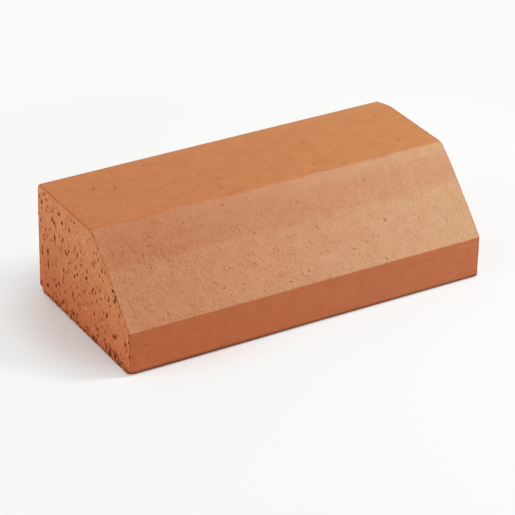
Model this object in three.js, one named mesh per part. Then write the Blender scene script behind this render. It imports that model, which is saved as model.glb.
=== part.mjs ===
// Plinth stretcher: a solid fired-clay brick of standard size whose front is cut back by a 45 degree splay.
// It is laid as the top course of a plinth, where the wall above steps back to the width of its top.
//
// Millimetres, +Z up. X runs along the brick's length, and the splay faces -Y.
// The origin is the middle of the bed, the flat face that the brick lies on.

import * as THREE from 'three';

// Driving dimensions of the brick, as it leaves the kiln
const LENGTH = 215;
const WIDTH = 102.5;
const HEIGHT = 65;
const SPLAY_LEG = 40; // what the splay takes off the width, and off the height
const SPLAY_CROWN = 0.8; // swell of the splay above a straight line, midway down it

// Rounds along the length, left by the die that the clay column is pushed through
const BED_ARRIS_RADIUS = 2;
const BACK_ARRIS_RADIUS = 3;
const FACE_ARRIS_RADIUS = 1.2;
const CREASE_RADIUS = 9.5;

// Rounds of the two wire-cut ends
const END_ARRIS_RADIUS = 0.6;

// Facets: steps in each round of the section, and in the rounds of the ends
const SECTION_STEPS = 6;
const END_STEPS = 2;

const FIRED_CLAY_COLOUR = 0xc07a54;
const FIRED_CLAY_ROUGHNESS = 0.9;

// Corners of the section before they are rounded, going round with the clay on the left
function sectionCorners() {
  const front = -WIDTH / 2;
  const back = WIDTH / 2;
  const crease = new THREE.Vector2(front + SPLAY_LEG, HEIGHT);
  const faceTop = new THREE.Vector2(front, HEIGHT - SPLAY_LEG);

  // The splay is a curve drawn towards this point, and it swells by half of the point's distance
  const outward = new THREE.Vector2(-1, 1).normalize();
  const swell = crease.clone().add(faceTop).multiplyScalar(0.5).addScaledVector(outward, 2 * SPLAY_CROWN);

  return [
    { at: new THREE.Vector2(front, 0), radius: BED_ARRIS_RADIUS },
    { at: new THREE.Vector2(back, 0), radius: BED_ARRIS_RADIUS },
    { at: new THREE.Vector2(back, HEIGHT), radius: BACK_ARRIS_RADIUS },
    { at: crease, radius: CREASE_RADIUS },
    { at: swell, swells: true },
    { at: faceTop, radius: FACE_ARRIS_RADIUS },
  ];
}

// The arc that rounds a convex corner: its centre, and the angles where it leaves and joins the straight sides
function roundOf(corner, before, after) {
  const towards = corner.at.clone().sub(before.at).normalize();
  const away = after.at.clone().sub(corner.at).normalize();
  const turn = Math.acos(towards.dot(away));
  const reach = corner.radius * Math.tan(turn / 2);
  const start = corner.at.clone().addScaledVector(towards, -reach);
  const centre = start.clone().add(new THREE.Vector2(-towards.y, towards.x).multiplyScalar(corner.radius));
  const startAngle = Math.atan2(start.y - centre.y, start.x - centre.x);
  return { start, centre, startAngle, endAngle: startAngle + turn };
}

// The brick's section, drawn with its width along x and its height along y
function sectionShape() {
  const shape = new THREE.Shape();
  const corners = sectionCorners();
  corners.forEach((corner, i) => {
    if (corner.swells) return;
    const before = corners.at(i - 1);
    const after = corners[(i + 1) % corners.length];
    const round = roundOf(corner, before, after);
    if (before.swells) {
      shape.quadraticCurveTo(before.at.x, before.at.y, round.start.x, round.start.y);
    }
    shape.absarc(round.centre.x, round.centre.y, corner.radius, round.startAngle, round.endAngle, false);
  });
  shape.closePath();
  return shape;
}

// The section pushed out along the length, with the arrises of both ends rounded inside that length
function brickGeometry() {
  const geometry = new THREE.ExtrudeGeometry(sectionShape(), {
    depth: LENGTH - 2 * END_ARRIS_RADIUS,
    curveSegments: SECTION_STEPS,
    bevelEnabled: true,
    bevelThickness: END_ARRIS_RADIUS,
    bevelSize: END_ARRIS_RADIUS,
    bevelOffset: -END_ARRIS_RADIUS,
    bevelSegments: END_STEPS,
  });
  geometry.translate(0, 0, -LENGTH / 2 + END_ARRIS_RADIUS);

  // Drawn width, height and depth become the row's Y, Z and X
  const standing = new THREE.Matrix4().makeBasis(
    new THREE.Vector3(0, 1, 0),
    new THREE.Vector3(0, 0, 1),
    new THREE.Vector3(1, 0, 0),
  );
  return geometry.applyMatrix4(standing);
}

const firedClay = new THREE.MeshStandardMaterial({
  color: FIRED_CLAY_COLOUR,
  roughness: FIRED_CLAY_ROUGHNESS,
  metalness: 0,
});

const brick = new THREE.Mesh(brickGeometry(), firedClay);
brick.name = 'plinth_brick';

const group = new THREE.Group();
group.add(brick);

export default group;
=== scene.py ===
import itertools
import math
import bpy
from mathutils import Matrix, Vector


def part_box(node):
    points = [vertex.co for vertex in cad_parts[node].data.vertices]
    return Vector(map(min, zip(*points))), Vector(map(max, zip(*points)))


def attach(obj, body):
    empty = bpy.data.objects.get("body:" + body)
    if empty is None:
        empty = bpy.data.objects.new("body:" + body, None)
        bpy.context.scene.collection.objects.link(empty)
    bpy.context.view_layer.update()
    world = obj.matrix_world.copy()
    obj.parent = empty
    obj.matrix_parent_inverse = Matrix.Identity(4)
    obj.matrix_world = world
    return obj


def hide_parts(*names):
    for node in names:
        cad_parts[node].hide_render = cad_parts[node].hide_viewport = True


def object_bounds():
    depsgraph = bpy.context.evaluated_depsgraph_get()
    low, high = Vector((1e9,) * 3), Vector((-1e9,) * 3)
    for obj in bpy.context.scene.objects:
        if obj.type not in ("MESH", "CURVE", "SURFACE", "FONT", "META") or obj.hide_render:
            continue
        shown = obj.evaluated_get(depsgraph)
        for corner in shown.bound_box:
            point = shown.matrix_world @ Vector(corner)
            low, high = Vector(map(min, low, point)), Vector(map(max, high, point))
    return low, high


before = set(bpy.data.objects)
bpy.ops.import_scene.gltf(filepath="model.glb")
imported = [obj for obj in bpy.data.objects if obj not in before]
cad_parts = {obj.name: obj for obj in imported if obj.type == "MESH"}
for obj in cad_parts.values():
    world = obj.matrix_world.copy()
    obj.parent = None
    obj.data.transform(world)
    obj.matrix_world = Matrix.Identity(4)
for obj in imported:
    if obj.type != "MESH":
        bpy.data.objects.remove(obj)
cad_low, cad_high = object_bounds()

from types import SimpleNamespace
from typing import NamedTuple

import bpy
import numpy as np
from mathutils import Matrix, Vector

# A wire-cut clay brick with a splayed front, standing on a white studio floor.
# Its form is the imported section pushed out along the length. The skin of that form is a fine grid
# of points, which are then moved by the pits, sand, drag marks and worn arrises of the real clay.
# Distances are in metres, and MM turns millimetres into them.

MM = 0.001

# The camera looks at AIM from DISTANCE. AZIMUTH turns it from +Y towards +X, ELEVATION tips it down.
AIM = Vector((-5.03, -5.18, 19.87)) * MM
DISTANCE = 1374 * MM
AZIMUTH = math.radians(30.97)
ELEVATION = math.radians(28.93)
ROLL = math.radians(1.05)
LENS = 179.1

NODE = "plinth_brick"
node_low, node_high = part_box(NODE)
HALF_LENGTH = (node_high.x - node_low.x) / 2
HALF_WIDTH = (node_high.y - node_low.y) / 2
HEIGHT = node_high.z
SPLAY_LEG = 40 * MM
FACE_HEIGHT = HEIGHT - SPLAY_LEG
CREASE_Y = SPLAY_LEG - HALF_WIDTH

# Unit directions: the three axes, and the two that run up the splay and out of it
ALONG_X = np.array((1.0, 0.0, 0.0))
ALONG_Y = np.array((0.0, 1.0, 0.0))
UPWARD = np.array((0.0, 0.0, 1.0))
UP_SPLAY = np.array((0.0, 1.0, 1.0)) / math.sqrt(2)
OUT_OF_SPLAY = np.array((0.0, -1.0, 1.0)) / math.sqrt(2)

# The front arris at the foot of the splay, from where distances up the splay are measured
FOOT_OF_SPLAY = np.array((0.0, -HALF_WIDTH, FACE_HEIGHT))

# The grid of points: how many lie across the width, up the height and along the length, and how
# much closer they lie near the arrises than between them, from 0 to 1
COARSE = 1
ACROSS = 380 // COARSE
UP = 240 // COARSE
ALONG = 640 // COARSE
SECTION_EASE = 0.35
LENGTH_EASE = 0.6

# The smooth outline of the section is first drawn in steps of this length
OUTLINE_STEP = 0.15 * MM

# The grid is thinned out to this many triangles once it is worn
TRIANGLES = 196_000


# ------------------------------------------------------------------ helpers

# Noise repeats itself after this many cells
NOISE_REPEAT = 96


def smoothstep(low, high, value):
    """0 up to low and 1 from high on, with a smooth step between them."""
    t = np.clip((value - low) / (high - low), 0, 1)
    return t * t * (3 - 2 * t)


def noise(points, cell, seed):
    """Smooth noise from -1 to 1, in cells of so many mm: a random value at each of their corners,
    and a blend of those in between."""
    table = np.random.default_rng(seed).uniform(-1, 1, (NOISE_REPEAT,) * 3).astype(np.float32)
    scaled = points / (np.asarray(cell) * MM)
    corner = np.floor(scaled).astype(np.int64)
    part = scaled - corner
    part = (part * part * (3 - 2 * part)).astype(np.float32)
    total = np.zeros(len(points), np.float32)
    for step in itertools.product((0, 1), repeat=3):
        weight = np.ones(len(points), np.float32)
        for axis, side in enumerate(step):
            weight *= part[:, axis] if side else 1 - part[:, axis]
        x, y, z = ((corner + step) % NOISE_REPEAT).T
        total += weight * table[x, y, z]
    return total


# ------------------------------------------------------------------ the bare form

# Where the four runs round the section meet, as outward directions: the bed, the back,
# the top with its splay, and the front
RUN_ENDS = np.radians([-135, -45, 45, 157.5, 225])


def cad_section():
    """The CAD section's corners as (y, z), anticlockwise where Y points right and Z up."""
    points = np.array([v.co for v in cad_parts[NODE].data.vertices])
    clear_of_ends = np.abs(points[:, 0]) < HALF_LENGTH - 0.5 * MM
    ring = np.unique(points[clear_of_ends, 1:].round(7), axis=0)
    middle = ring.mean(axis=0)
    turn = np.arctan2(ring[:, 1] - middle[1], ring[:, 0] - middle[0])
    return ring[np.argsort(turn)]


def smooth_outline(ring, spacing):
    """The smooth curve through the ring, and its outward normals."""
    side = np.roll(ring, -1, axis=0) - ring
    length = np.linalg.norm(side, axis=1, keepdims=True)
    # a corner's direction follows the longer side, so that straight sides stay straight
    heading = side + np.roll(side, 1, axis=0)
    heading /= np.linalg.norm(heading, axis=1, keepdims=True)
    pieces = []
    for i in range(len(ring)):
        j = (i + 1) % len(ring)
        steps = math.ceil(length[i, 0] / spacing)
        t = (np.arange(steps) / steps)[:, None]
        pieces.append(
            (2 * t**3 - 3 * t**2 + 1) * ring[i]
            + (t**3 - 2 * t**2 + t) * length[i] * heading[i]
            + (3 * t**2 - 2 * t**3) * ring[j]
            + (t**3 - t**2) * length[i] * heading[j]
        )
    points = np.concatenate(pieces)
    along = np.roll(points, -1, axis=0) - np.roll(points, 1, axis=0)
    along /= np.linalg.norm(along, axis=1, keepdims=True)
    return points, np.stack([along[:, 1], -along[:, 0]], axis=1)


def eased(count, share):
    """Steps from 0 to 1 that are closer together near both ends."""
    t = np.linspace(0, 1, count + 1)
    return t - share * np.sin(2 * np.pi * t) / (2 * np.pi)


def section_ring(outline, outward):
    """Points and normals round the section, in the four runs that RUN_ENDS parts."""
    facing = np.arctan2(outward[:, 1], outward[:, 0])
    first = np.argmin(np.abs(facing - RUN_ENDS[0]))
    outline = np.roll(outline, -first, axis=0)
    outward = np.roll(outward, -first, axis=0)
    facing = np.unwrap(np.roll(facing, -first))
    run = np.concatenate([[0], np.cumsum(np.linalg.norm(np.diff(outline, axis=0), axis=1))])
    facing = np.append(facing, RUN_ENDS[-1])
    run = np.append(run, run[-1] + np.linalg.norm(outline[0] - outline[-1]))
    outline = np.vstack([outline, outline[:1]])
    outward = np.vstack([outward, outward[:1]])
    corners = np.interp(RUN_ENDS, facing, run)
    stops = []
    for k, count in enumerate((ACROSS, UP, ACROSS, UP)):
        stops.append(corners[k] + (corners[k + 1] - corners[k]) * eased(count, SECTION_EASE)[:-1])
    stops = np.concatenate(stops)
    points = np.stack([np.interp(stops, run, outline[:, c]) for c in (0, 1)], axis=1)
    normals = np.stack([np.interp(stops, run, outward[:, c]) for c in (0, 1)], axis=1)
    normals /= np.linalg.norm(normals, axis=1, keepdims=True)
    return points, normals


def cap_grid(ring):
    """A grid that fills the section: ring indices on its border, and the points inside it."""
    border = np.arange(2 * (ACROSS + UP) + 1) % (2 * (ACROSS + UP))
    bed = border[: ACROSS + 1]
    back = border[ACROSS : ACROSS + UP + 1]
    top = border[ACROSS + UP : 2 * ACROSS + UP + 1][::-1]
    front = border[2 * ACROSS + UP :][::-1]
    u = np.linspace(0, 1, ACROSS + 1)[:, None, None]
    v = np.linspace(0, 1, UP + 1)[None, :, None]
    grid = (
        (1 - v) * ring[bed][:, None] + v * ring[top][:, None]
        + (1 - u) * ring[front][None] + u * ring[back][None]
        - (1 - u) * (1 - v) * ring[bed[0]] - u * (1 - v) * ring[bed[-1]]
        - (1 - u) * v * ring[top[0]] - u * v * ring[top[-1]]
    )
    index = np.full((ACROSS + 1, UP + 1), -1)
    index[:, 0], index[:, -1], index[0], index[-1] = bed, top, front, back
    return grid, index


def quads(index):
    """The faces of a grid of vertex numbers."""
    corners = index[:-1, :-1], index[1:, :-1], index[1:, 1:], index[:-1, 1:]
    return np.stack(corners, axis=-1).reshape(-1, 4)


class Skin:
    """The points of the bare form, and how far each lies from the long sides and from the ends."""

    def __init__(self):
        self.outline, self.outward = smooth_outline(cad_section(), OUTLINE_STEP)
        ring, ring_normal = section_ring(self.outline, self.outward)
        count = len(ring)
        x = (eased(ALONG, LENGTH_EASE) * 2 - 1) * HALF_LENGTH
        sides = np.empty((len(x), count, 3))
        sides[..., 0] = x[:, None]
        sides[..., 1:] = ring
        grid, border = cap_grid(ring)
        inside = grid[1:-1, 1:-1].reshape(-1, 2)
        inside_gap, inside_normal = self.gap_to_outline(inside)

        ends = []
        round_the_sides = np.arange(len(x) * count).reshape(len(x), count)[:, np.r_[:count, 0]]
        faces = [quads(round_the_sides)[:, ::-1]]
        for end, x_end in enumerate((-HALF_LENGTH, HALF_LENGTH)):
            ends.append(np.column_stack([np.full(len(inside), x_end), inside]))
            index = border + end * (len(x) - 1) * count
            first = len(x) * count + end * len(inside)
            index[1:-1, 1:-1] = (first + np.arange(len(inside))).reshape(ACROSS - 1, UP - 1)
            faces.append(quads(index) if end else quads(index)[:, ::-1])
        self.points = np.concatenate([sides.reshape(-1, 3), *ends])
        self.faces = np.concatenate(faces)
        zero = np.zeros(len(x) * count)
        self.side_gap = np.concatenate([zero, inside_gap, inside_gap])
        self.side_normal = np.zeros_like(self.points)
        self.side_normal[:, 1:] = np.concatenate(
            [np.tile(ring_normal, (len(x), 1)), inside_normal, inside_normal]
        )
        self.end_gap = HALF_LENGTH - np.abs(self.points[:, 0])
        self.end_normal = np.zeros_like(self.points)
        self.end_normal[:, 0] = np.sign(self.points[:, 0])

    def gap_to_outline(self, points):
        """How deep points lie inside the outline, and the outward normal where it is nearest."""
        blocks = 200  # the points are done in this many lots, to save memory
        reach = (self.outline * self.outward).sum(axis=1)
        gap = np.empty(len(points))
        nearest = np.empty(len(points), int)
        for block in np.array_split(np.arange(len(points)), blocks):
            depth = reach - points[block] @ self.outward.T
            nearest[block] = depth.argmin(axis=1)
            gap[block] = depth.min(axis=1)
        return gap, self.outward[nearest]

    def ease_arrises(self, radius):
        """Rounds the arrises of both ends, and keeps which way each point now faces."""
        from_side = np.maximum(radius - self.side_gap, 0)[:, None]
        from_end = np.maximum(radius - self.end_gap, 0)[:, None]
        corner = np.maximum(np.hypot(from_side, from_end), 1e-9)
        self.normal = (from_side * self.side_normal + from_end * self.end_normal) / corner
        self.points = self.points - np.maximum(corner - radius[:, None], 0) * self.normal
        self.on_end = (from_end / corner)[:, 0] ** 2


# ------------------------------------------------------------------ kinds of marks

# A pit's floor is flat inside its brink, a share of its radius: sharp where a wire tore out a
# crumb, soft where the clay was dented. A sand grain comes almost to a point.
SHARPEST_BRINK = 0.95
SHARP_BRINK = 0.85
SOFT_BRINK = 0.65
GRAIN_BRINK = 0.2


class Mark(NamedTuple):
    """A kind of random mark: its width and depth in mm and its height over its width, each from
    least to most, how far it leans to either side, and its brink. A grain's depth is its height."""

    width: tuple
    stretch: tuple
    depth: tuple
    lean: float = 0.6
    brink: float = SOFT_BRINK


WIRE_PIT = Mark(width=(0.4, 1.1), stretch=(1.4, 4.5), depth=(0.2, 1.5), lean=0.25, brink=SHARP_BRINK)
FOOT_PIT = Mark(width=(0.5, 1.2), stretch=(1, 3.4), depth=(0.3, 1.6), lean=0.3, brink=SHARP_BRINK)
TORN_PIT = Mark(width=(1.2, 2.2), stretch=(0.8, 2.8), depth=(0.8, 1.7), lean=0.4)
SPLAY_SPECK = Mark(width=(0.5, 1.1), stretch=(0.9, 2.6), depth=(0.06, 0.20))
TOP_DENT = Mark(width=(0.6, 1.4), stretch=(0.8, 2.4), depth=(0.1, 0.4))
DIE_DENT = Mark(width=(0.6, 1.8), stretch=(0.7, 2), depth=(0.05, 0.4))

END_GRAIN = Mark(width=(0.5, 1.1), stretch=(0.7, 1.6), depth=(0.05, 0.22))
ARRIS_GRAIN = Mark(width=(0.5, 1.0), stretch=(0.7, 1.8), depth=(0.1, 0.2))
FINE_SAND = Mark(width=(0.7, 1.3), stretch=(0.8, 2.0), depth=(0.10, 0.25), brink=GRAIN_BRINK)
MIDDLING_SAND = Mark(width=(0.8, 1.5), stretch=(1.2, 2.4), depth=(0.2, 0.55), brink=GRAIN_BRINK)
COARSE_SAND = Mark(width=(0.8, 1.6), stretch=(1.2, 2.4), depth=(0.25, 0.75), brink=GRAIN_BRINK)

# How far random marks reach, in mm: across an end, up an end, and along the length
END_ACROSS = (-51, 51)
END_UP = (0, 64)
LENGTHWAYS = (-107, 107)

# Random marks of each face: how many, how far they reach across it and up it, and their kind
LEFT_END_MARKS = (
    (290, END_ACROSS, END_UP, WIRE_PIT),
    (120, END_ACROSS, (0, 8), FOOT_PIT),
)
RIGHT_END_MARKS = (
    (360, END_ACROSS, END_UP, WIRE_PIT),
    (45, END_ACROSS, (1, 62), TORN_PIT),
)
SPLAY_MARKS = ((400, LENGTHWAYS, (0, 54), SPLAY_SPECK),)
TOP_MARKS = ((90, LENGTHWAYS, (-10, 50), TOP_DENT),)
FRONT_MARKS = ((30, LENGTHWAYS, (0, 24), DIE_DENT),)
BACK_MARKS = ((90, LENGTHWAYS, (0, 62), DIE_DENT),)
BED_MARKS = ((150, LENGTHWAYS, (-50, 50), DIE_DENT),)

# Grains of both ends, some of them along the front arris, and the sand of the splay, which is
# coarser towards the left
END_GRAINS = (
    (150, END_ACROSS, END_UP, END_GRAIN),
    (26, (-51.2, -49.5), (0, 22), ARRIS_GRAIN),
)
SAND = (
    (600, LENGTHWAYS, (0, 49), FINE_SAND),
    (380, LENGTHWAYS, (0, 46), MIDDLING_SAND),
    (350, (-107, 50), (0, 46), COARSE_SAND),
    (350, (-107, 10), (0, 53), COARSE_SAND),
)

# Pits of the left end: y, z, width, height, depth and lean
LEFT_END_PITS = [
    (46.5, 55.3, 1.5, 3.0, 0.9, 0.2), (46.5, 52.2, 1.2, 1.2, 0.6, 0.0),
    (34.5, 55.6, 1.5, 1.2, 1.2, 0.3), (32.5, 50.0, 1.5, 4.0, 0.9, 0.1),
    (31.8, 41.0, 1.5, 4.0, 0.9, 0.0), (26.5, 57.5, 2.0, 2.0, 0.5, 0.0),
    (22.5, 54.0, 1.5, 2.5, 0.8, 0.2), (14.5, 54.0, 1.5, 2.5, 1.3, 0.1), (8.5, 61.0, 1.5, 1.5, 1.6, 0.0),
    (15.5, 40.5, 2.5, 1.0, 0.9, -0.2), (1.3, 39.3, 2.0, 1.0, 1.2, 0.0),
    (23.3, 43.0, 1.0, 2.0, 0.6, 0.0), (-4.5, 34.5, 1.5, 2.8, 1.0, 0.8),
    (6.0, 31.2, 2.0, 1.2, 1.1, -0.5), (9.7, 28.5, 1.2, 2.5, 0.8, 0.2), (22.0, 26.0, 1.5, 2.5, 1.2, 0.0),
    (47.5, 24.7, 2.0, 1.8, 1.6, 0.4), (40.3, 21.0, 1.3, 6.0, 1.2, 0.0),
    (-12.5, 32.3, 1.5, 1.2, 0.7, 0.0), (-20.5, 30.3, 1.5, 1.2, 0.7, 0.0),
    (-31.0, 31.5, 1.8, 0.8, 0.8, 0.0), (-13.2, 53.5, 1.5, 1.5, 0.7, 0.0),
    (-22.0, 47.3, 1.5, 2.5, 1.4, -0.3), (-34.0, 41.5, 2.2, 1.5, 1.2, 0.0),
    (-36.5, 38.0, 1.5, 6.0, 1.3, 0.3), (-26.7, 23.5, 2.0, 3.0, 0.7, 0.0),
    (-10.0, 22.8, 1.2, 1.2, 0.8, 0.0), (-7.2, 27.0, 1.0, 1.5, 0.7, 0.0),
    (3.8, 20.5, 1.2, 1.5, 0.8, 0.0), (33.8, 14.6, 2.0, 1.2, 0.8, 0.0), (31.5, 12.2, 1.6, 2.6, 1.1, 0.3),
    (28.0, 15.0, 1.2, 3.0, 0.7, 0.0), (40.7, 8.0, 1.3, 2.8, 1.8, 0.0), (11.0, 5.3, 1.5, 2.0, 0.9, 0.0),
    (7.5, 6.0, 1.0, 3.0, 0.8, 0.0), (-24.0, 8.0, 2.2, 1.8, 1.3, 0.0), (-30.3, 3.5, 2.0, 6.0, 1.8, 0.0),
    (-36.5, 5.0, 1.3, 5.0, 1.8, 0.1), (-15.8, 9.8, 2.0, 1.5, 0.7, 0.0),
    (-33.7, 14.8, 1.3, 2.5, 0.9, 0.0), (-47.5, 17.0, 0.8, 4.5, 0.7, 0.0),
    (-50.5, 20.0, 1.5, 1.8, 1.2, 0.0), (-51.0, 11.0, 1.5, 2.0, 1.5, 0.0),
    (-50.7, 24.0, 1.3, 1.3, 0.8, 0.0), (32.0, 1.8, 2.0, 1.4, 1.0, 0.0),
    (43.3, 61.4, 1.1, 1.4, 0.7, 0.0), (41.7, 59.0, 1.0, 2.0, 0.7, 0.2),
    (48.6, 58.0, 1.0, 2.2, 0.7, 0.0),
]

# Larger spots of the splay: x, how far up it, width, height, depth and lean
SPLAY_PITS = [
    (-80.4, 41.8, 1.6, 1.4, 0.5, 0.0), (-85.4, 37.4, 1.0, 2.0, 0.45, 0.4),
    (-83.7, 30.1, 1.2, 1.0, 0.3, 0.0), (-100.8, 27.0, 1.2, 1.0, 0.3, 0.0),
    (-65.0, 24.5, 1.2, 1.2, 0.4, 0.0), (-57.5, 48.7, 0.9, 2.4, 0.5, -0.3),
    (-50.0, 44.0, 1.4, 1.4, 0.3, 0.0), (-32.5, 52.9, 2.2, 1.2, 0.4, -0.3),
    (-12.9, 43.3, 1.0, 1.4, 0.55, 0.0), (-21.2, 34.1, 1.4, 1.2, 0.5, 0.0),
    (-26.7, 18.3, 1.4, 1.2, 0.4, 0.0), (-48.3, 9.9, 1.2, 1.2, 0.5, 0.0),
    (-37.9, 6.9, 2.0, 1.0, 0.4, -0.2), (-10.4, 3.7, 1.8, 1.0, 0.4, 0.0), (1.7, 7.0, 1.6, 1.2, 0.5, 0.0),
    (9.6, 44.4, 1.1, 1.1, 0.6, 0.0), (28.8, 38.7, 1.0, 1.4, 0.3, 0.0),
    (46.3, 47.0, 1.4, 1.4, 0.35, 0.0), (52.7, 47.0, 1.2, 1.6, 0.3, 0.0),
    (55.4, 22.4, 0.9, 3.0, 0.45, 0.4), (40.2, 13.9, 1.3, 1.1, 0.6, 0.0),
    (31.7, 11.9, 1.8, 1.0, 0.4, 0.0), (69.8, 9.3, 1.1, 1.0, 0.5, 0.0), (43.3, 7.4, 1.2, 1.6, 0.35, 0.0),
    (82.5, 37.9, 0.7, 5.0, 0.2, 0.5), (65.0, 48.3, 0.6, 4.5, 0.2, 0.3),
]

# Dents of the top: x, y, width, height, depth and lean
TOP_PITS = [
    (-85.2, 30.5, 1.6, 1.6, 0.7, 0.0), (-74.3, 26.5, 2.0, 4.5, 0.4, -0.4),
    (-48.8, 42.3, 1.2, 1.6, 0.6, 0.3), (-82.5, 39.0, 1.6, 2.4, 0.2, 0.0),
    (-103.3, 16.5, 1.4, 2.0, 0.3, 0.0), (-99.2, 1.1, 1.2, 1.8, 0.3, 0.0),
    (-80.0, 10.2, 2.0, 2.0, 0.25, 0.0), (-67.9, 15.7, 1.2, 2.2, 0.25, 0.4),
    (-60.4, 14.2, 1.4, 3.2, 0.25, 0.4), (-39.2, 11.9, 1.4, 1.4, 0.3, 0.0),
    (-35.0, 7.8, 1.4, 2.4, 0.3, 0.3), (-21.3, 9.4, 2.4, 1.8, 0.4, 0.0),
    (-25.4, -0.6, 3.2, 1.4, 0.45, 0.2), (-19.2, -5.6, 1.2, 3.4, 0.3, 0.6),
    (-5.4, -4.3, 1.8, 1.6, 0.4, 0.0), (-73.0, -5.0, 20.0, 1.2, 0.12, 0.0),
    (32.0, 0.0, 1.4, 3.0, 0.35, 0.3), (36.5, 1.0, 1.8, 1.4, 0.35, 0.0),
    (47.0, -6.0, 1.2, 1.6, 0.3, 0.0), (28.5, -7.0, 1.0, 2.2, 0.3, 0.4),
    (62.0, -3.0, 1.0, 1.4, 0.25, 0.0),
]


# ------------------------------------------------------------------ pits and grains

PIT_SEED = 11
GRAIN_SEED = 23

# A point belongs to each side that it faces by more than this cosine
FACES_SIDE = 0.15

# A pit's rim is a little wider than its size, and wanders in and out by this share of its radius,
# as a noise with cells of so many mm does
PIT_RIM = 1.1
RIM_WANDER = 0.35
RIM_CELL = 0.7

# Points that a pit may move lie within this share of its larger size
PIT_REACH = 0.9


def scattered(rng, count, across, up, kind):
    """Random marks of a kind within a rectangle, most of them small."""
    size = rng.uniform(0, 1, count) ** 2
    narrowest, widest = kind.width
    shallowest, deepest = kind.depth
    width = narrowest + (widest - narrowest) * size
    return zip(
        rng.uniform(*across, count),
        rng.uniform(*up, count),
        width,
        width * rng.uniform(*kind.stretch, count),
        shallowest + (deepest - shallowest) * size * rng.uniform(0.4, 1, count),
        rng.uniform(-kind.lean, kind.lean, count),
    )


class Side:
    """One face of the brick, whose points are found by how far they lie across it and up it."""

    def __init__(self, skin, facing, across, up, base=np.zeros(3)):
        rows = np.flatnonzero(skin.normal @ facing > FACES_SIDE)
        order = np.argsort(skin.points[rows] @ across)
        self.rows = rows[order]
        self.across = skin.points[self.rows] @ across
        self.up = (skin.points[self.rows] - base) @ up
        self.ragged = skin.ragged[self.rows]

    def stamp(self, field, pits, brink=SOFT_BRINK):
        """Presses pits into a field, each (across, up, width, height, depth) in mm and its lean."""
        for across, up, width, height, depth, lean in pits:
            reach = PIT_REACH * max(width, height) * MM
            first, last = np.searchsorted(self.across, (across * MM - reach, across * MM + reach))
            near = slice(first, last)
            a = self.across[near] - across * MM
            b = self.up[near] - up * MM
            turned_a = a * math.cos(lean) + b * math.sin(lean)
            turned_b = b * math.cos(lean) - a * math.sin(lean)
            radius = np.hypot(turned_a / width, turned_b / height) * 2 / MM
            radius += RIM_WANDER * self.ragged[near]
            rows = self.rows[near]
            field[rows] = np.maximum(field[rows], depth * MM * smoothstep(PIT_RIM, brink, radius))

    def scatter(self, field, rng, marks):
        """Presses random marks into a field."""
        for count, across, up, kind in marks:
            self.stamp(field, scattered(rng, count, across, up, kind), kind.brink)


def press_pits(skin):
    """How deep the pits and dents of each face go, in metres."""
    pits = np.zeros(len(skin.points))
    rng = np.random.default_rng(PIT_SEED)

    left = Side(skin, -ALONG_X, ALONG_Y, UPWARD)
    left.stamp(pits, LEFT_END_PITS, SHARPEST_BRINK)
    left.scatter(pits, rng, LEFT_END_MARKS)
    Side(skin, ALONG_X, ALONG_Y, UPWARD).scatter(pits, rng, RIGHT_END_MARKS)

    splay = Side(skin, OUT_OF_SPLAY, ALONG_X, UP_SPLAY, FOOT_OF_SPLAY)
    splay.stamp(pits, SPLAY_PITS)
    splay.scatter(pits, rng, SPLAY_MARKS)

    top = Side(skin, UPWARD, ALONG_X, ALONG_Y)
    top.stamp(pits, TOP_PITS)
    top.scatter(pits, rng, TOP_MARKS)

    Side(skin, -ALONG_Y, ALONG_X, UPWARD).scatter(pits, rng, FRONT_MARKS)
    Side(skin, ALONG_Y, ALONG_X, UPWARD).scatter(pits, rng, BACK_MARKS)
    Side(skin, -UPWARD, ALONG_X, ALONG_Y).scatter(pits, rng, BED_MARKS)
    return pits


def raise_grains(skin):
    """How far grains stand up from each face, in metres."""
    grains = np.zeros(len(skin.points))
    rng = np.random.default_rng(GRAIN_SEED)
    for facing in (-ALONG_X, ALONG_X):
        Side(skin, facing, ALONG_Y, UPWARD).scatter(grains, rng, END_GRAINS)
    Side(skin, OUT_OF_SPLAY, ALONG_X, UP_SPLAY, FOOT_OF_SPLAY).scatter(grains, rng, SAND)
    return grains


# ------------------------------------------------------------------ texture of the faces

# Layers of noise, each with its height and the size of its cells in mm. Stretched cells are
# (x, y, z), and on the splay they are (x, up the slope, out of it).
WIRE_CUT = ((0.12, 14), (0.04, (5, 0.8, 9)), (0.05, (5, 2.2, 16)), (0.05, 1.3))
SANDED = ((0.05, 20), (0.012, (1.5, 14, 12)), (0.03, 1.6))
DIE_SKIN = ((0.07, (45, 28, 28)), (0.02, (50, 1.8, 1.8)))

# How far each face lies within the form in mm, which leaves room for those layers
WIRE_CUT_SINK = 0.2
SANDED_SINK = 0.1
DIE_SKIN_SINK = 0.08

# Pores of the cut ends: their cells in mm, the noise at which they open, and their depth in mm
PORE_CELL = (1, 1, 1.7)
PORE_OPENS = (0.62, 0.9)
PORE_DEPTH = 0.35

# A face is sanded where the cosine to the splay's direction lies above these
SANDED_FACING = (0.8, 0.95)


def layered(points, layers, seed):
    """The layers' noise at the points, added up, in mm."""
    return sum(height * noise(points, cell, seed + k) for k, (height, cell) in enumerate(layers))


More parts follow.
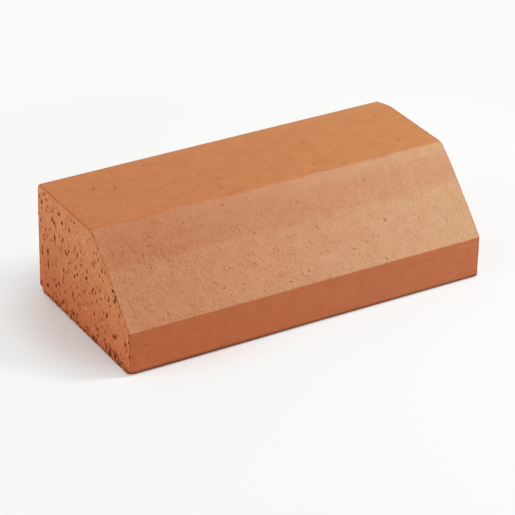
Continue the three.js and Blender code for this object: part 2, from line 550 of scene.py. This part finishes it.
def surface_relief(skin):
    """How far the surface is sunk by everything but its pits and grains, in metres."""
    relief = np.zeros(len(skin.points))
    splay_share = smoothstep(*SANDED_FACING, skin.normal @ OUT_OF_SPLAY) * (1 - skin.on_end)
    die_share = 1 - splay_share - skin.on_end

    rows = np.flatnonzero(skin.on_end > 0)
    at = skin.points[rows]
    pores = PORE_DEPTH * smoothstep(*PORE_OPENS, noise(at, PORE_CELL, seed=6))
    cut = WIRE_CUT_SINK + layered(at, WIRE_CUT, seed=100) + pores
    relief[rows] += skin.on_end[rows] * cut

    rows = np.flatnonzero(splay_share > 0)
    at = skin.points[rows]
    slope = np.column_stack([at[:, 0], at @ UP_SPLAY, at @ OUT_OF_SPLAY])
    relief[rows] += splay_share[rows] * (SANDED_SINK + layered(slope, SANDED, seed=200))

    rows = np.flatnonzero(die_share > 0)
    at = skin.points[rows]
    relief[rows] += die_share[rows] * (DIE_SKIN_SINK + layered(at, DIE_SKIN, seed=300))
    return relief * MM


# ------------------------------------------------------------------ worn arrises

# The round of the end arrises in mm: at least, how far it wavers, and what wear adds to it along
# the left end, at its foot, and at the back of its top
END_ROUND = 0.3
ROUND_WAVER = 0.1
LEFT_WEAR = 0.15
FOOT_WEAR = 0.3
TOP_WEAR = 0.7

# Where that wear fades in: down z, up z and along y, and the cells of its noises in mm
WORN_FOOT = (5 * MM, 0)
WORN_TOP = (50 * MM, HEIGHT)
WORN_BACK = (15 * MM, 45 * MM)
WAVER_CELL = 3
FOOT_CELL = 2.2

CHIP_SEED = 37

# Small chips lie anywhere round an end: how many, the radius of the ball that cuts each, and how
# deep it goes, from least to most in mm. By the bed of the left end they go deeper.
LEFT_CHIPS = 70
RIGHT_CHIPS = 14
CHIP_BALL = (0.9, 2.2)
CHIP_DEPTH = (0.3, 0.6)
BED_CHIP_HEIGHT = 5 * MM
BED_CHIP_GAIN = 1.5

# Large chips of three corners: the signs of x, y and z there, and the chip's ball and depth in mm
CORNER_CHIPS = (
    ((-1, -1, -1), 6, 2.6),
    ((-1, 1, -1), 9, 3.0),
    ((-1, 1, 1), 4, 1.8),
)

# No chip reaches further than this from an end's arris
CHIP_REACH = 5 * MM

# The knock at the back of the right end: how far along, across and down it reaches, and its depth
KNOCK_LENGTH = 3.5 * MM
KNOCK_WIDTH = 13 * MM
KNOCK_HEIGHT = 20 * MM
KNOCK_DEPTH = 1.6 * MM

UNFOLD_ROUNDS = 12


def arris_radius(skin):
    """The round of the end arrises: small, but worn at the foot and at the top of the left end."""
    at = skin.points
    left = at[:, 0] < 0
    foot = smoothstep(*WORN_FOOT, at[:, 2]) * left
    top = smoothstep(*WORN_BACK, at[:, 1]) * smoothstep(*WORN_TOP, at[:, 2]) * left
    radius = END_ROUND + LEFT_WEAR * left + ROUND_WAVER * noise(at, WAVER_CELL, seed=15)
    worn_foot = FOOT_WEAR * foot * (1 + noise(at, FOOT_CELL, seed=16))
    return (radius + worn_foot + TOP_WEAR * top) * MM


def small_chips(skin):
    """Random chips: a point of an end's arris, the way out of it, the cutting ball and its depth."""
    rng = np.random.default_rng(CHIP_SEED)
    for end, count in ((-1, LEFT_CHIPS), (1, RIGHT_CHIPS)):
        for _ in range(count):
            spot = rng.integers(len(skin.outline))
            ball = rng.uniform(*CHIP_BALL) * MM
            depth = rng.uniform(*CHIP_DEPTH) * MM
            if end < 0 and skin.outline[spot, 1] < BED_CHIP_HEIGHT:
                depth *= BED_CHIP_GAIN
            point = np.array((end * HALF_LENGTH, *skin.outline[spot]))
            yield point, np.array((end, *skin.outward[spot])) / math.sqrt(2), ball, depth


def corner_chips():
    """The large chips, told in the same way."""
    for (x, y, z), ball, depth in CORNER_CHIPS:
        corner = np.array((x * HALF_LENGTH, y * HALF_WIDTH, HEIGHT if z > 0 else 0))
        yield corner, np.array((x, y, z)) / math.sqrt(3), ball * MM, depth * MM


def break_arrises(skin):
    """Cuts the chips by moving points from inside each ball to its far side."""
    near = np.flatnonzero((skin.side_gap < CHIP_REACH) & (skin.end_gap < CHIP_REACH))
    chipped = skin.points[near]
    for point, out, ball, depth in itertools.chain(small_chips(skin), corner_chips()):
        offset = chipped - point - out * (ball - depth)
        away = offset @ out
        square = (offset**2).sum(axis=1)
        to_far_side = away + np.sqrt(np.maximum(ball**2 - square + away**2, 0))
        chipped -= np.where(square < ball**2, to_far_side, 0)[:, None] * out
    skin.points[near] = chipped


def knock_back_corner(skin):
    """Lets the back of the top sink close to the right end, where the wet clay was knocked."""
    x, y, z = skin.points.T
    fall = smoothstep(HALF_LENGTH - KNOCK_LENGTH, HALF_LENGTH, x)
    fall = fall * smoothstep(HALF_WIDTH - KNOCK_WIDTH, HALF_WIDTH, y)
    skin.points[:, 2] -= KNOCK_DEPTH * fall * smoothstep(HEIGHT - KNOCK_HEIGHT, HEIGHT, z)


def unfold(skin):
    """Relaxes the points of faces that deep pits and chips at an arris have turned inside out."""
    outward = skin.normal[skin.faces].mean(axis=1)
    for _ in range(UNFOLD_ROUNDS):
        a, b, c, d = skin.points[skin.faces].transpose(1, 0, 2)
        turned = (np.cross(c - a, d - b) * outward).sum(axis=1) < 0
        loose = np.zeros(len(skin.points), bool)
        loose[skin.faces[turned]] = True
        # the points next to them move too
        loose[skin.faces[loose[skin.faces].any(axis=1)]] = True
        faces = skin.faces[loose[skin.faces].any(axis=1)]
        middle = skin.points[faces].mean(axis=1)
        total = np.zeros_like(skin.points)
        count = np.zeros(len(skin.points))
        for corner in faces.T:
            np.add.at(total, corner, middle)
            np.add.at(count, corner, 1)
        skin.points[loose] = total[loose] / count[loose, None]


# ------------------------------------------------------------------ the brick's mesh

# Marks this deep or high, in metres, show in full in the clay's colour
FULL_HOLLOW = MM
FULL_GRAIN = 0.15 * MM

# How far from an arris its darker line, of rubbed clay and painted shade, has faded out, and how near
# it is whole
ARRIS_LINE_FADE = (0.8 * MM, 0.3 * MM)


def wear(skin):
    """Turns the bare form into worn clay, and keeps what the material needs to know."""
    skin.ease_arrises(arris_radius(skin))
    skin.ragged = noise(skin.points, RIM_CELL, seed=17)
    pits = press_pits(skin)
    grains = raise_grains(skin)
    sunk = surface_relief(skin) + pits - grains
    skin.points = skin.points - sunk[:, None] * skin.normal
    break_arrises(skin)
    knock_back_corner(skin)
    unfold(skin)
    skin.points = np.clip(skin.points, np.array(cad_low), np.array(cad_high))
    skin.hollow = np.clip(pits / FULL_HOLLOW, 0, 1)
    skin.grain = np.clip(grains / FULL_GRAIN, 0, 1)
    from_arris = np.hypot(skin.end_gap, skin.side_gap)
    skin.arris = smoothstep(*ARRIS_LINE_FADE, from_arris)


def skin_mesh(skin):
    """The skin as a mesh, which keeps what the material needs to know as attributes of its points."""
    mesh = bpy.data.meshes.new("skin")
    mesh.from_pydata(skin.points.tolist(), [], skin.faces.tolist())
    for name in ("on_end", "hollow", "grain", "arris"):
        values = getattr(skin, name).astype(np.float32)
        mesh.attributes.new(name, "FLOAT", "POINT").data.foreach_set("value", values)
    return mesh


def thin_out(piece):
    """Leaves a piece's grid with about TRIANGLES triangles, which are larger where it is flat."""
    grid = piece.data
    decimate = piece.modifiers.new("decimate", "DECIMATE")
    decimate.ratio = min(1, TRIANGLES / (2 * len(grid.polygons)))
    decimate.use_collapse_triangulate = True
    thinned = piece.evaluated_get(bpy.context.evaluated_depsgraph_get())
    fine = bpy.data.meshes.new_from_object(thinned)
    piece.modifiers.clear()
    piece.data = fine
    bpy.data.meshes.remove(grid)
    fine.name = piece.name


def keep_in_box(mesh):
    """Brings back the few points that thinning out throws some microns out of the CAD's box."""
    points = np.empty(3 * len(mesh.vertices), np.float32)
    mesh.vertices.foreach_get("co", points)
    points = np.clip(points.reshape(-1, 3), np.array(cad_low), np.array(cad_high))
    mesh.vertices.foreach_set("co", points.ravel())


def build_brick():
    skin = Skin()
    wear(skin)
    brick = bpy.data.objects.new("brick", skin_mesh(skin))
    bpy.context.scene.collection.objects.link(brick)
    thin_out(brick)
    keep_in_box(brick.data)
    brick.data.shade_smooth()
    return brick


# ------------------------------------------------------------------ clay

# The skin of the die is red, and dust makes it paler. The top is more orange, from left to right.
# Towards the right the clay is paler and brighter, partly the kiln's colour and partly painted light
# from the key lamp's side.
# The cut ends are darker and redder at their foot, a painted shade near the floor.
RED_CLAY = (0.545, 0.141, 0.052, 1)
PALE_CLAY = (0.655, 0.391, 0.221, 1)
LEFT_ORANGE = (0.56, 0.20, 0.077, 1)
RIGHT_ORANGE = (0.57, 0.24, 0.094, 1)
FOOT_OF_CUT = (0.515, 0.146, 0.055, 1)
HEAD_OF_CUT = (0.58, 0.227, 0.098, 1)

# A darker spot is redder too, in the clay's own mottling and in the painted shade of its pits and
# pores: the shade of red, raised to these, is that of green and blue
GREEN_SHADE = 1.8
BLUE_SHADE = 2.7

# Cells of the clay's noises in mm, and how far some are stretched: pores are taller than wide,
# sand grains longer up the splay, and drag marks run along the brick
CLOUDS = 28
BENDS = 12
MOTTLES = 7
DUST = 2.5
RAGS = 1.2
SAND_GRAINS = 1.2
PORES = 1.1
GRIT = 0.8
PORE_STRETCH = (1, 1, 2)
SAND_STRETCH = (1, 1.8, 1)
DRAG_STRETCH = (22, 1, 1)

# How far noises shift the paling and painted light along the brick and the painted shade up the cut
# ends, the splay's paler band and crease sheen, the sand's edge by the crease, and its edge by the
# front face
RIGHTWARD_SHIFT = 60 * MM
CUT_SHIFT = 20 * MM
BAND_SHIFT = 5 * MM
CREASE_BEND = 4 * MM
CREASE_RAG = 3 * MM
FACE_RAG = 0.7 * MM

# The edge by the crease is less uneven towards the right: its share at the left and at the right
CREASE_UNEVEN = (1.0, 0.2)

# Where each thing fades in, from none of it to all of it: along x
RIGHTWARD_FADE = (10 * MM - HALF_LENGTH, 60 * MM + HALF_LENGTH)
LEFT_EDGE_FADE = (7 * MM - HALF_LENGTH, 1 * MM - HALF_LENGTH)
END_FADE = (HALF_LENGTH - 1.4 * MM, HALF_LENGTH - 0.6 * MM)

# Along y
CREASE_FADE = (CREASE_Y + 3.85 * MM, CREASE_Y + 0.35 * MM)
BACK_FADE = (36 * MM, 50 * MM)

# Up z
TOP_FADE = (HEIGHT - 8 * MM, HEIGHT - 4 * MM)
ABOVE_FACE_FADE = (FACE_HEIGHT - 0.6 * MM, FACE_HEIGHT + 0.2 * MM)
UP_CUT_FADE = (5 * MM, 68 * MM)
CUT_FOOT_FADE = (5 * MM, 0.5 * MM)
# how high the painted shade at the bed's arris reaches
BED_SHADE_FADE = (3.2 * MM, 1 * MM)

# Up the splay
LOWER_BAND = (36 * MM, 31 * MM)
# the upper band, just under the crease, is a painted highlight on its rounded edge
CREASE_SHEEN_BAND = (49 * MM, 53 * MM)
SANDED_FADE = (52 * MM, 40 * MM)

# By how far a face looks up, by how deep or high a mark is, and by the noise of pores and sand
TOP_FACING = (0.3, 0.8)
OFF_BED_FACING = (-0.98, -0.8)
HOLLOW_FADE = (0.05, 0.35)
GRAIN_FADE = (0.1, 0.7)
PORE_FADE = (0.65, 0.71)
SAND_FADE = (0.42, 0.8)

# How much dust lies on the splay, how much more in its bands and how unevenly, and how much lies on the
# other
# sides: each at the left and at the right, where part of the extra paleness is painted light
SPLAY_DUST_AND_LIGHT = (0.34, 0.77)
# the bands take in the painted highlight along the crease
BAND_DUST_AND_SHEEN = (0.10, 0.15)
UNEVEN_DUST = (0.3, 0.15)
SIDE_DUST_AND_LIGHT = (0.06, 0.17)

# What dust adds by the left end of the splay, and at the back of the top
LEFT_EDGE_DUST = 0.07
BACK_DUST = 0.08

# How strongly these show in the clay's colour, each on the sides and on the cut ends: grit, the painted
# shade in pits, paler grains, and the painted shade of the bed's arris where it meets the floor
GRIT_SHADE = (0.26, 0.54)
HOLLOW_SHADE = (0.12, 0.71)
GRAIN_GLOW = (0.04, 0.46)
BED_SHADE = (0.6, 0.3)

# Mottling and drag marks, where their noise is low and where it is high, and the tone of the painted
# light along the brick at the left and at the right
LOW_TO_HIGH = (0.3, 0.7)
MOTTLE_TONE = (0.976, 1.024)
DRAG_TONE = (0.99, 1.01)
PAINTED_LIGHT_ALONG = (1.02, 0.98)

# Painted shade in pores, along the arrises where the clay is also rubbed, round the foot of each grain
# and at the foot of the cut ends; and the red of rubbed arrises
PORE_SHADE = 0.6
ARRIS_WEAR_AND_SHADE = 0.12
RUBBED_RED = 0.4
GRAIN_RIM_SHADE = 0.4
CUT_FOOT_SHADE = 0.13

# A darker stain on the splay: its middle, how far off it has faded out and is whole, and its shade
# at both
STAIN = (-78 * MM, -21 * MM, 55 * MM)
STAIN_FADE = (45 * MM, 10 * MM)
STAIN_SHADE = (0.02, 0.05)

# The bump: its depth, and shares of it for grit, for more grit on the splay and on the cut ends,
# for pores and for sand, and how much sand there is near the crease, at the left and at the right
BUMP_DEPTH = 0.15 * MM
GRIT_HEIGHT = 0.3
SPLAY_GRIT_HEIGHT = 0.3
CUT_GRIT_HEIGHT = 0.4
PORE_HEIGHT = -1.5
SAND_HEIGHT = 1.2
SAND_BY_CREASE = 0.4
SAND_ALONG = (1.1, 0.35)

# Roughness where the grit is low and where it is high, and the clay's faint gloss
GRIT_SPAN = (-0.2, 0.2)
ROUGHNESS = (0.85, 0.97)
SPECULAR = 0.1


class Nodes:
    """Adds nodes to a material or a world. An input is joined if it is a socket, and set if not."""

    def __init__(self, owner):
        owner.use_nodes = True
        self.tree = owner.node_tree

    def fill(self, node, inputs):
        for socket, value in inputs.items():
            if isinstance(value, bpy.types.NodeSocket):
                self.tree.links.new(value, node.inputs[socket])
            else:
                node.inputs[socket].default_value = value

    def add(self, kind, inputs, **settings):
        node = self.tree.nodes.new("ShaderNode" + kind)
        for name, value in settings.items():
            setattr(node, name, value)
        self.fill(node, inputs)
        return node

    def math(self, operation, a, b=0.0, c=0.0):
        return self.add("Math", {0: a, 1: b, 2: c}, operation=operation).outputs[0]

    def vector(self, operation, a, b=(0, 0, 0)):
        return self.add("VectorMath", {0: a, 1: b}, operation=operation).outputs["Vector"]

    def measure(self, operation, a, b=(0, 0, 0)):
        return self.add("VectorMath", {0: a, 1: b}, operation=operation).outputs["Value"]

    def times(self, first, *others):
        """The product of its factors."""
        for other in others:
            first = self.math("MULTIPLY", first, other)
        return first

    def scaled(self, value, scale, start):
        """The start, and the value times a scale on top of it."""
        return self.math("MULTIPLY_ADD", value, scale, start)

    def between(self, share, start, end):
        """From the start, where the share is 0, to the end, where it is 1."""
        return self.scaled(share, end - start, start)

    def rest(self, share):
        """What the share leaves of 1."""
        return self.math("SUBTRACT", 1.0, share)

    def spread(self, value, low, high, to_low=0.0, to_high=1.0):
        """A smooth step, from to_low where the value is at low to to_high where it is at high."""
        inputs = {0: value, 1: low, 2: high, 3: to_low, 4: to_high}
        return self.add("MapRange", inputs, interpolation_type="SMOOTHSTEP").outputs[0]

    def blend(self, share, a, b, mode="MIX"):
        inputs = {0: share, 6: a, 7: b}
        return self.add("Mix", inputs, data_type="RGBA", blend_type=mode).outputs[2]

    def shaded(self, colour, red, green, blue):
        """The colour, with its red, green and blue multiplied by these."""
        shade = self.add("CombineXYZ", {0: red, 1: green, 2: blue}).outputs[0]
        return self.blend(1.0, colour, shade, "MULTIPLY")

    def noise(self, place, cell, detail, stretch=(1, 1, 1)):
        """Noise from 0 to 1 whose cells measure so many millimetres, longer where stretched."""
        shrink = tuple(1 / s for s in stretch)
        place = self.vector("MULTIPLY", place, shrink)
        inputs = {"Vector": place, "Scale": 1 / (cell * MM), "Detail": detail}
        return self.add("TexNoise", inputs).outputs["Fac"]

    def ripple(self, place, cell, detail):
        """Noise from -0.5 to 0.5."""
        return self.math("SUBTRACT", self.noise(place, cell, detail), 0.5)

    def attribute(self, name):
        return self.add("Attribute", {}, attribute_name=name).outputs["Fac"]


def find_marks(nodes):
    """Where things are: coordinates, and masks from 0 to 1 of the ends, the marks, and the paling and
    painted light towards the right.
    """
    at = SimpleNamespace()
    coordinates = nodes.add("TexCoord", {}).outputs
    at.place = coordinates["Object"]
    at.x, at.y, at.z = nodes.add("SeparateXYZ", {0: at.place}).outputs[:3]
    at.facing_up = nodes.add("SeparateXYZ", {0: coordinates["Normal"]}).outputs[2]

    from_middle = nodes.math("ABSOLUTE", at.x)
    by_end = nodes.spread(from_middle, *END_FADE)
    at.on_end = nodes.times(nodes.attribute("on_end"), by_end)
    at.arris = nodes.times(nodes.attribute("arris"), by_end)
    at.hollow = nodes.spread(nodes.attribute("hollow"), *HOLLOW_FADE)
    at.grain = nodes.spread(nodes.attribute("grain"), *GRAIN_FADE)
    at.grit = nodes.ripple(at.place, GRIT, 2)
    pores = nodes.spread(nodes.noise(at.place, PORES, 2, PORE_STRETCH), *PORE_FADE)
    at.pores = nodes.times(pores, at.on_end)

    # the brick is paler and brighter towards the right, in clouds: partly the kiln's colour, partly
    # painted light from the key lamp's side
    at.cloud = nodes.noise(at.place, CLOUDS, 3)
    at.right = nodes.spread(nodes.scaled(at.cloud, RIGHTWARD_SHIFT, at.x), *RIGHTWARD_FADE)
    return at


def find_faces(nodes, at):
    """Adds the masks of the splay and the top. Sand ends unevenly at the crease between them."""
    rag = nodes.ripple(at.place, RAGS, 3)
    sway = nodes.ripple(at.place, BENDS, 2)
    edge = nodes.scaled(sway, CREASE_BEND, nodes.times(rag, CREASE_RAG))
    edge = nodes.scaled(edge, nodes.between(at.right, *CREASE_UNEVEN), at.y)
    before_crease = nodes.spread(edge, *CREASE_FADE)
    above_face = nodes.spread(nodes.scaled(rag, FACE_RAG, at.z), *ABOVE_FACE_FADE)
    at.splay = nodes.times(before_crease, above_face, nodes.rest(at.on_end))

    high = nodes.math("SUBTRACT", nodes.spread(at.z, *TOP_FADE), before_crease)
    high = nodes.math("MAXIMUM", high, 0.0)
    at.top = nodes.times(high, nodes.spread(at.facing_up, *TOP_FACING))


def find_bands(nodes, at):
    """Adds how far up the splay each place is, which wanders a little, and the bands along it: a paler
    band low on it, and a painted highlight along the rounded crease.
    """
    foot = float(FOOT_OF_SPLAY @ UP_SPLAY)
    up = nodes.measure("DOT_PRODUCT", at.place, UP_SPLAY.tolist())
    up = nodes.math("SUBTRACT", up, foot + BAND_SHIFT / 2)
    at.slope = nodes.scaled(nodes.noise(at.place, BENDS, 3), BAND_SHIFT, up)
    at.lower_band = nodes.spread(at.slope, *LOWER_BAND)
    # painted highlight along the rounded crease, towards the right
    crease_sheen = nodes.times(nodes.spread(at.slope, *CREASE_SHEEN_BAND), at.right)
    at.bands = nodes.math("MAXIMUM", at.lower_band, crease_sheen)


def dusty_lit_skin(nodes, at):
    """The red skin of the die, with pale dust on it; it is paler towards the right, partly as painted
    light, and along the crease as a painted highlight.
    """
    uneven = nodes.ripple(at.place, DUST, 3)
    uneven = nodes.times(uneven, nodes.between(at.right, *UNEVEN_DUST))
    on_splay = nodes.between(at.right, *SPLAY_DUST_AND_LIGHT)
    on_splay = nodes.scaled(at.bands, nodes.between(at.right, *BAND_DUST_AND_SHEEN), on_splay)
    on_splay = nodes.math("ADD", on_splay, uneven)
    by_left_end = nodes.spread(at.x, *LEFT_EDGE_FADE, 0.0, LEFT_EDGE_DUST)
    on_splay = nodes.math("ADD", on_splay, by_left_end)
    on_sides = nodes.between(at.right, *SIDE_DUST_AND_LIGHT)
    dust_and_light = nodes.add("Mix", {0: at.splay, 2: on_sides, 3: on_splay}).outputs[0]
    return nodes.blend(dust_and_light, RED_CLAY, PALE_CLAY)


def clay_colour(nodes, at):
    """The clay's own colour, before anything shades it."""
    orange = nodes.blend(at.right, LEFT_ORANGE, RIGHT_ORANGE)
    by_back = nodes.spread(at.y, *BACK_FADE, 0.0, BACK_DUST)
    orange = nodes.blend(by_back, orange, PALE_CLAY)
    colour = nodes.blend(at.top, dusty_lit_skin(nodes, at), orange)

    # painted shade: the cut ends darken and redden towards the floor, in clouds
    up_the_cut = nodes.spread(nodes.scaled(at.cloud, CUT_SHIFT, at.z), *UP_CUT_FADE)
    cut = nodes.blend(up_the_cut, FOOT_OF_CUT, HEAD_OF_CUT)
    colour = nodes.blend(at.on_end, colour, cut)
    return nodes.blend(nodes.times(at.arris, RUBBED_RED), colour, RED_CLAY)


def clay_shade(nodes, at):
    """The shade of each spot: the clay's mottling, drag marks and grit, painted shade in pores and pits
    and round grains, paler grains, and a darker line at the arrises that is partly rubbed clay and
    partly painted shade.
    """
    mottle = nodes.spread(nodes.noise(at.place, MOTTLES, 4), *LOW_TO_HIGH, *MOTTLE_TONE)
    drag = nodes.noise(at.place, PORES, 2, DRAG_STRETCH)
    drag = nodes.spread(drag, *LOW_TO_HIGH, *DRAG_TONE)
    speckle = nodes.scaled(at.grit, nodes.between(at.on_end, *GRIT_SHADE), 1.0)
    # painted shade in pits and pores, darker where they go deeper
    in_pits = nodes.times(at.hollow, nodes.between(at.on_end, *HOLLOW_SHADE))
    dark = nodes.math("MAXIMUM", nodes.times(at.pores, PORE_SHADE), in_pits)
    pale = nodes.scaled(at.grain, nodes.between(at.on_end, *GRAIN_GLOW), 1.0)
    # a darker line along the end arrises: rubbed clay, and painted shade of their small chips
    arris_wear_and_shade = nodes.between(at.arris, 1.0, 1.0 - ARRIS_WEAR_AND_SHADE)

    # each grain of the sand has a darker line round its foot, a painted shade where it meets the splay
    rim = nodes.times(at.grain, nodes.rest(at.grain), at.splay)
    rim = nodes.between(rim, 1.0, 1.0 - GRAIN_RIM_SHADE)
    return nodes.times(mottle, drag, speckle, nodes.rest(dark), pale, arris_wear_and_shade, rim)


def clay_tone(nodes, at):
    """The tone of whole areas: painted light along the brick, painted shade at the bed where it meets
    the floor, the stain, and painted shade at the foot of the cut ends.
    """
    # painted light: the whole brick a little brighter at the left than at the right
    light_along = nodes.between(at.right, *PAINTED_LIGHT_ALONG)
    # painted shade: the lowest arris darkens where the brick meets the floor, less so on the cut ends
    off_bed = nodes.spread(at.facing_up, *OFF_BED_FACING)
    bed_shade = nodes.times(nodes.spread(at.z, *BED_SHADE_FADE), off_bed)
    bed_shade = nodes.times(bed_shade, nodes.between(at.on_end, *BED_SHADE))
    stain = nodes.measure("DISTANCE", at.place, STAIN)
    stain = nodes.spread(stain, *STAIN_FADE, *STAIN_SHADE)
    stain = nodes.times(at.splay, nodes.rest(at.lower_band), stain)
    # painted shade: a darker band at the foot of the cut ends, by the floor
    foot = nodes.times(nodes.spread(at.z, *CUT_FOOT_FADE), at.on_end)
    foot = nodes.between(foot, 1.0, 1.0 - CUT_FOOT_SHADE)
    return nodes.times(nodes.rest(bed_shade), light_along, nodes.rest(stain), foot)


def clay_height(nodes, at):
    """The finest relief, too small for the mesh, in shares of BUMP_DEPTH: grit, pores and sand."""
    grit = nodes.scaled(at.splay, SPLAY_GRIT_HEIGHT, GRIT_HEIGHT)
    grit = nodes.scaled(at.on_end, CUT_GRIT_HEIGHT, grit)
    height = nodes.scaled(at.pores, PORE_HEIGHT, nodes.times(at.grit, grit))

    # sand stands up from the splay, less of it near the crease and towards the right
    level_splay = (-math.pi / 4, 0, 0)
    tilted = nodes.add("Mapping", {"Vector": at.place, "Rotation": level_splay}).outputs[0]
    sand = nodes.noise(tilted, SAND_GRAINS, 1, SAND_STRETCH)
    sand = nodes.spread(sand, *SAND_FADE, 0.0, SAND_HEIGHT)
    sanded = nodes.spread(at.slope, *SANDED_FADE, SAND_BY_CREASE, 1.0)
    sanded = nodes.times(sanded, nodes.between(at.right, *SAND_ALONG), at.splay)
    return nodes.scaled(sand, sanded, height)


def clay_material():
    material = bpy.data.materials.new("fired clay")
    nodes = Nodes(material)
    at = find_marks(nodes)
    find_faces(nodes, at)
    find_bands(nodes, at)

    shade = clay_shade(nodes, at)
    green = nodes.math("POWER", shade, GREEN_SHADE)
    blue = nodes.math("POWER", shade, BLUE_SHADE)
    colour = nodes.shaded(clay_colour(nodes, at), shade, green, blue)
    tone = clay_tone(nodes, at)
    height = clay_height(nodes, at)
    bump = nodes.add("Bump", {"Strength": 1.0, "Distance": BUMP_DEPTH, "Height": height})
    nodes.fill(nodes.tree.nodes["Principled BSDF"], {
        "Base Color": nodes.shaded(colour, tone, tone, tone),
        "Roughness": nodes.spread(at.grit, *GRIT_SPAN, *ROUGHNESS),
        "Specular IOR Level": SPECULAR,
        "Normal": bump.outputs[0],
    })
    return material


# ------------------------------------------------------------------ studio

# How bright the white background is to look at, and how brightly it lights the brick
WHITE = 0.95
WORLD_STRENGTH = 0.2

FLOOR_COLOUR = (0.95, 0.95, 0.935, 1)
FLOOR_REACH = 20

# The shadow that the floor keeps lies round the left end: its middle, how far off the floor starts
# and ends to turn white there, and how white it is at both
SHADOW_MIDDLE = (44 * MM - HALF_LENGTH, 6 * MM, 0)
SHADOW_FADE = (50 * MM, 88 * MM)
SHADOW_WHITE = (0.16, 0.69)

# How far from the brick the floor starts to turn all white, and has done so
FLOOR_FADE = (120 * MM, 300 * MM)

# Where the brick touches the floor, its shadow stays whole for this far
CONTACT_FADE = (-1.2 * MM, 1.0 * MM)

SENSOR_WIDTH = 36

# name, place, size and watts of each lamp
LAMPS = (
    ("key", (0.78, -0.36, 0.84), 0.3, 11.5),
    ("fill", (-1.1, 0.0, 0.5), 0.9, 7.2),
    ("back", (-0.1, 1.1, 0.6), 0.9, 3.4),
)


def make_camera(scene):
    data = bpy.data.cameras.new("camera")
    data.lens = LENS
    data.sensor_width = SENSOR_WIDTH
    camera = bpy.data.objects.new("camera", data)
    turn = Matrix.Rotation(-AZIMUTH, 4, "Z")
    tip = Matrix.Rotation(math.pi / 2 - ELEVATION, 4, "X")
    roll = Matrix.Rotation(ROLL, 4, "Z")
    step_back = Matrix.Translation((0, 0, DISTANCE))
    camera.matrix_world = Matrix.Translation(AIM) @ turn @ tip @ roll @ step_back
    scene.collection.objects.link(camera)
    scene.camera = camera


def make_lamps(scene):
    for name, place, size, watts in LAMPS:
        data = bpy.data.lights.new(name, "AREA")
        data.energy = watts
        data.size = size
        lamp = bpy.data.objects.new(name, data)
        lamp.location = place
        lamp.rotation_euler = (-lamp.location).to_track_quat("-Z", "Y").to_euler()
        scene.collection.objects.link(lamp)


def sees_background(nodes):
    """1 for rays that show the white background: from the camera, off gloss and through glass."""
    rays = nodes.add("LightPath", {}).outputs
    seen = nodes.math("MAXIMUM", rays["Is Camera Ray"], rays["Is Glossy Ray"])
    return nodes.math("MAXIMUM", seen, rays["Is Transmission Ray"])


def make_world(scene):
    """A white world to look at, which lights the brick only softly."""
    world = bpy.data.worlds.new("studio")
    nodes = Nodes(world)
    strength = nodes.between(sees_background(nodes), WORLD_STRENGTH, WHITE)
    background = nodes.tree.nodes["Background"]
    nodes.fill(background, {"Color": (1, 1, 1, 1), "Strength": strength})
    scene.world = world


def floor_whiteness(nodes):
    """How far each place of the floor has turned white."""
    place = nodes.add("TexCoord", {}).outputs["Object"]
    from_shadow = nodes.measure("DISTANCE", place, SHADOW_MIDDLE)
    by_shadow = nodes.spread(from_shadow, *SHADOW_FADE, *SHADOW_WHITE)
    far_off = nodes.spread(nodes.measure("LENGTH", place), *FLOOR_FADE)
    white = nodes.math("MAXIMUM", by_shadow, far_off)

    # how far outside the brick's outline each place is
    outside = nodes.vector("ABSOLUTE", place)
    outside = nodes.vector("SUBTRACT", outside, (HALF_LENGTH, HALF_WIDTH, 0))
    gap = nodes.measure("LENGTH", nodes.vector("MAXIMUM", outside))
    return nodes.times(white, nodes.spread(gap, *CONTACT_FADE))


def floor_material():
    """A matt white that catches shadows, which turns into the white of the world away from them."""
    material = bpy.data.materials.new("floor")
    nodes = Nodes(material)
    matt = nodes.tree.nodes["Principled BSDF"]
    nodes.fill(matt, {"Base Color": FLOOR_COLOUR, "Roughness": 1.0, "Specular IOR Level": 0.0})
    white = nodes.add("Emission", {"Strength": WHITE}).outputs[0]
    whiteness = nodes.times(floor_whiteness(nodes), sees_background(nodes))
    shown = nodes.add("MixShader", {0: whiteness, 1: matt.outputs[0], 2: white}).outputs[0]
    nodes.fill(nodes.tree.nodes["Material Output"], {"Surface": shown})
    return material


def make_floor(scene):
    low, high = -FLOOR_REACH, FLOOR_REACH
    corners = [(low, low, 0), (high, low, 0), (high, high, 0), (low, high, 0)]
    mesh = bpy.data.meshes.new("floor")
    mesh.from_pydata(corners, [], [(0, 1, 2, 3)])
    mesh.materials.append(floor_material())
    floor = bpy.data.objects.new("floor", mesh)
    scene.collection.objects.link(floor)


# ------------------------------------------------------------------ the scene

brick = build_brick()
brick.data.materials.append(clay_material())
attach(brick, "root")
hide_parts(NODE)

scene = bpy.context.scene
scene.view_settings.view_transform = "Standard"
make_camera(scene)
make_world(scene)
make_floor(scene)
make_lamps(scene)
